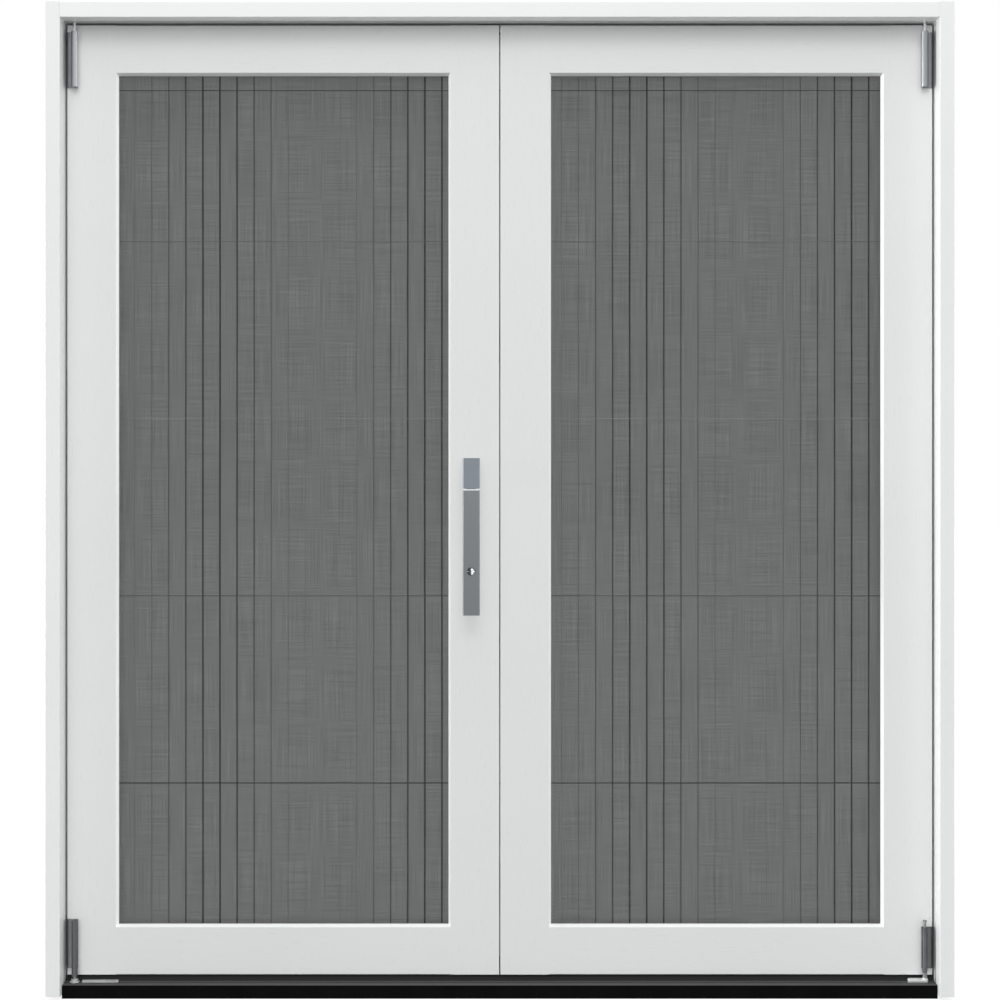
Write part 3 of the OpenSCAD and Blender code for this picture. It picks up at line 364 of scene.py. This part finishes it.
finishOfSlot = {
    "white_paint": "leafUpright", "black_sill": "sillBlack", "black_rubber": "sealRubber",
    "white_alloy": "coatedAlloy", "bright_steel": "steelBright", "satin_steel": "steelSatin",
    "satin_nickel": "nickelSatin", "bright_chrome": "chromeBright", "clear_glass": "clearGlass",
    "wheel_nylon": "wheelNylon",
}
ownFinish = {
    "left_jamb": "frameUpright", "right_jamb": "frameUpright",
    "left_stop": "frameUpright", "right_stop": "frameUpright",
    "head": "frameLevel", "head_stop": "frameLevel", "head_track": "frameLevel",
    "left_top_rail": "leafLevel", "left_bottom_rail": "leafLevel",
    "right_top_rail": "leafLevel", "right_bottom_rail": "leafLevel",
    "left_top_hinge": "hingeUpperLeft", "right_top_hinge": "hingeUpperRight",
    "left_bottom_hinge": "hingeLowerLeft", "right_bottom_hinge": "hingeLowerRight",
    "outside_hub": "nickelHub", "bottom_pivot_pin": "steelDark", "bottom_guide": "steelCast",
    "bottom_pivot_plate": "steelPlate",
}
remade = ("insect_screen", "screen_cords")
for part in frame["record"]["subparts"]:
    if part["node"] in remade:
        continue
    look = ownFinish.get(part["node"]) or finishOfSlot[part["material_slot"]]
    for holder in frame["nodes"][part["node"]].material_slots:
        holder.material = finishes[look]
# bounced light passes the outside handle, which keeps its soft shadow on the leaf faint
for name in ("handle_backplate", "outside_hub", "outside_lever", "lock_button"):
    frame["nodes"][name].visible_diffuse = False
print("solids finished:", len(frame["nodes"]) - len(remade))

# pleated screen: narrow tucks folded back from the mesh face, with slightly bowed strips between
screen = {
    "left": -0.8785, "right": 0.8320, "low": 0.0425, "high": 1.9829, "face": 0.0645, "thick": 0.0005,
    "pitch": 0.0361, "shift": -0.0140, "margin": 0.0045,  # the first and last tuck keep off the ends
    "tuckDepth": 0.0077, "tuckCurve": 0.9, "openLeast": 0.0002, "openMost": 0.0022,
    "beat": 0.45, "beatShift": -0.15165, "shadeCurve": 0.75,  # the tucks open and close along the width
    "bow": 0.0004, "crease": 0.0010, "edgeShare": 0.3, "sway": 0.00015, "swayTurns": (1.7, 0.9),
    "stripSteps": 9, "tuckSteps": 9, "rows": 40,
}


def inTurn(strips, tucks):
    # one line of values: a strip, a tuck, a strip and so on to the last strip
    return np.concatenate([np.concatenate([strips[:-1], tucks], 1).ravel(), strips[-1]])


def atCreases(shape, value):
    # zeros over the strips, with a tuck's value at the ends of the strips beside it
    strips = np.zeros(shape)
    strips[1:, 0] = value
    strips[:-1, -1] = value
    return strips


def pleatLine():
    # x and y across the screen: V tucks at shift + i * pitch, whose opening swells and shrinks along
    # the width like (1 + cos) / 2, and between them strips bowed by a half sine
    first = math.ceil((screen["left"] + screen["margin"] - screen["shift"]) / screen["pitch"])
    last = math.floor((screen["right"] - screen["margin"] - screen["shift"]) / screen["pitch"])
    tuckX = screen["shift"] + np.arange(first, last + 1) * screen["pitch"]
    swell = (1 + np.cos(2 * np.pi * (tuckX - screen["beatShift"]) / screen["beat"])) / 2
    half = (screen["openLeast"] + (screen["openMost"] - screen["openLeast"]) * swell) / 2
    starts = np.concatenate([[screen["left"]], tuckX + half])[:, None]
    ends = np.concatenate([tuckX - half, [screen["right"]]])[:, None]
    inner = np.linspace(0, 1, screen["stripSteps"] - 2)
    middle = starts + screen["crease"] + (ends - starts - 2 * screen["crease"]) * inner
    stripX = np.concatenate([starts, middle, ends], 1)
    stripY = screen["face"] - screen["bow"] * np.sin(np.pi * (stripX - starts) / (ends - starts))
    across = np.linspace(-1, 1, screen["tuckSteps"] + 2)[1:-1]
    insideX = tuckX[:, None] + half[:, None] * across
    insideY = screen["face"] + screen["tuckDepth"] * (1 - np.abs(across)) ** screen["tuckCurve"]
    # painted shade in the tucks and at the creases beside them, darker where the tucks stand open
    shade = swell ** screen["shadeCurve"]
    paintedTuckShade = np.broadcast_to(shade[:, None], insideX.shape)
    edge = screen["edgeShare"] * (1 - shade)
    return (inTurn(stripX, insideX), inTurn(stripY, np.broadcast_to(insideY, insideX.shape)),
            inTurn(atCreases(stripX.shape, shade), paintedTuckShade),
            inTurn(atCreases(stripX.shape, edge), np.ones_like(paintedTuckShade)))


lineX, lineY, tuckShadeValues, folded = pleatLine()
rise = np.linspace(screen["low"], screen["high"], screen["rows"])[:, None]
turnsX, turnsZ = screen["swayTurns"]
sway = screen["sway"] * np.sin(2 * np.pi * (rise * turnsZ + lineX * turnsX))
sway[:, [0, -1]] = 0
mesh = gridMesh("pleated_screen", np.stack(np.broadcast_arrays(lineX + sway, lineY, rise), -1))
run = np.concatenate([[0], np.cumsum(np.hypot(np.diff(lineX), np.diff(lineY)))])
uv = np.stack(np.broadcast_arrays(run, rise), -1).reshape(-1, 2)
corners = np.empty(len(mesh.data.loops), np.int32)
mesh.data.loops.foreach_get("vertex_index", corners)
cloth = mesh.data.uv_layers.new(name="cloth")
cloth.data.foreach_set("uv", uv[corners].astype(np.float32).ravel())
for name, values in (("tuck", tuckShadeValues), ("fold", folded)):
    attribute = mesh.data.attributes.new(name, "FLOAT", "POINT")
    attribute.data.foreach_set("value", np.tile(values.astype(np.float32), screen["rows"]))
wall = mesh.modifiers.new("wall", "SOLIDIFY")
wall.thickness = screen["thick"]
wall.offset = 0

# woven cloth: long slubs both ways in its colour, and single threads in its gloss and relief
meshLook = {"dark": (0.222, 0.222, 0.222), "pale": (0.418, 0.418, 0.418),
            "paintedTuckShade": (0.006, 0.006, 0.006, 1), "slubScale": 520, "slubStretch": 0.014, "thread": 242,
            "gloss": (0.75, 0.9), "shine": 0.2, "depth": 0.0003, "strength": 0.6, "through": 0.9}
meshMat, tree, shader, output, place = startFinish("screenWeave")
flatPlace = add(tree, "ShaderNodeUVMap", uv_map="cloth").outputs[0]
warp = noise(tree, flatPlace, meshLook["slubScale"], (1, meshLook["slubStretch"], 1), noiseDetail["slub"])
weft = noise(tree, flatPlace, meshLook["slubScale"], (meshLook["slubStretch"], 1, 1), noiseDetail["slub"])
slub = sums(tree, "MULTIPLY", sums(tree, "ADD", warp, weft), 0.5)
threads = [add(tree, "ShaderNodeTexWave", {"Vector": flatPlace, "Scale": meshLook["thread"]},
               bands_direction=way).outputs["Fac"] for way in ("X", "Y")]
weave = sums(tree, "MAXIMUM", *threads)
tuckShadeShare = add(tree, "ShaderNodeAttribute", attribute_name="tuck").outputs["Fac"]
isFold = add(tree, "ShaderNodeAttribute", attribute_name="fold").outputs["Fac"]
plainCloth = tint(tree, slub, meshLook["dark"], meshLook["pale"])
# painted shade in the tucks and at the creases beside them
clothColour = blended(tree, tuckShadeShare, plainCloth, meshLook["paintedTuckShade"])
tree.links.new(clothColour, shader.inputs["Base Color"])
tree.links.new(spread(tree, weave, *meshLook["gloss"]), shader.inputs["Roughness"])
shader.inputs["Specular IOR Level"].default_value = meshLook["shine"]
relief(tree, shader, weave, meshLook["depth"], meshLook["strength"])
behind = add(tree, "ShaderNodeBsdfTranslucent", {"Color": clothColour})
both = add(tree, "ShaderNodeMixShader", {0: meshLook["through"], 1: shader.outputs[0], 2: behind.outputs[0]})
# the open weave of the narrow tucks lets light pass to the strips beside them
path = add(tree, "ShaderNodeLightPath").outputs
passing = sums(tree, "MAXIMUM", path["Is Shadow Ray"], path["Is Diffuse Ray"])
passing = sums(tree, "MAXIMUM", passing, path["Is Transmission Ray"])
passing = sums(tree, "MULTIPLY", passing, isFold)
airy = add(tree, "ShaderNodeBsdfTransparent")
whole = add(tree, "ShaderNodeMixShader", {0: passing, 1: both.outputs[0], 2: airy.outputs[0]})
tree.links.new(whole.outputs[0], output.inputs["Surface"])
mesh.data.materials.append(meshMat)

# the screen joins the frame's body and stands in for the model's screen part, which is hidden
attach(mesh, "frame")
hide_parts("insect_screen")
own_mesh(mesh)

# guide cords: thin round cords run level across the face of the screen, some paler with wear
cords = {
    "shares": (0.1948, 0.3987, 0.5913, 0.7845, 0.9491),  # of the screen's height, from below
    "radii": (0.0011, 0.0008, 0.0007, 0.0007, 0.0008), "fades": (0.0, 0.27, 0.95, 0.6, 0.14),
    "y": 0.0632, "sides": 8, "steps": 60, "dark": (0.003, 0.003, 0.003), "pale": (0.008, 0.008, 0.008),
    "worn": (0.3, 0.3, 0.3, 1), "shine": 0.04, "braidScale": 160, "braidBend": 2.0, "gloss": (0.6, 0.8),
    "depth": 0.0001,
}
cordX = np.linspace(screen["left"], screen["right"], cords["steps"])
cordZ = screen["low"] + np.array(cords["shares"]) * (screen["high"] - screen["low"])
print("cords at", cordZ.round(4).tolist())


def tubes(name, lines, radii, sides):
    # round tubes along level lines: each ring is centre + radius * (0, cos, sin), with a cap at both ends
    angle = np.arange(sides) * 2 * np.pi / sides
    ring = np.stack([np.zeros(sides), np.cos(angle), np.sin(angle)], -1)
    points = lines[:, :, None, :] + np.array(radii)[:, None, None, None] * ring
    count, steps = lines.shape[:2]
    index = np.arange(count * steps * sides).reshape(count, steps, sides)
    turned = np.roll(index, -1, 2)
    quads = np.stack([index[:, :-1], turned[:, :-1], turned[:, 1:], index[:, 1:]], -1).reshape(-1, 4)
    caps = np.concatenate([index[:, 0, ::-1], index[:, -1]])
    return addMesh(name, points, quads.tolist() + caps.tolist())


lines = np.stack(np.broadcast_arrays(cordX[None, :], cords["y"], cordZ[:, None]), -1)
guideCords = tubes("guide_cords", lines, cords["radii"], cords["sides"])
fade = guideCords.data.attributes.new("fade", "FLOAT", "POINT")
perCord = cords["steps"] * cords["sides"]
fade.data.foreach_set("value", np.repeat(np.array(cords["fades"], np.float32), perCord))

cordMat, tree, shader, output, place = startFinish("cordBraid")
braid = add(tree, "ShaderNodeTexWave", {
    "Vector": place, "Scale": cords["braidScale"], "Distortion": cords["braidBend"]},
    bands_direction="DIAGONAL").outputs["Fac"]
worn = add(tree, "ShaderNodeAttribute", attribute_name="fade").outputs["Fac"]
colour = blended(tree, worn, tint(tree, braid, cords["dark"], cords["pale"]), cords["worn"])
tree.links.new(colour, shader.inputs["Base Color"])
tree.links.new(spread(tree, braid, *cords["gloss"]), shader.inputs["Roughness"])
shader.inputs["Specular IOR Level"].default_value = cords["shine"]
relief(tree, shader, braid, cords["depth"])
guideCords.data.materials.append(cordMat)
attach(guideCords, "frame")
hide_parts("screen_cords")
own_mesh(guideCords)
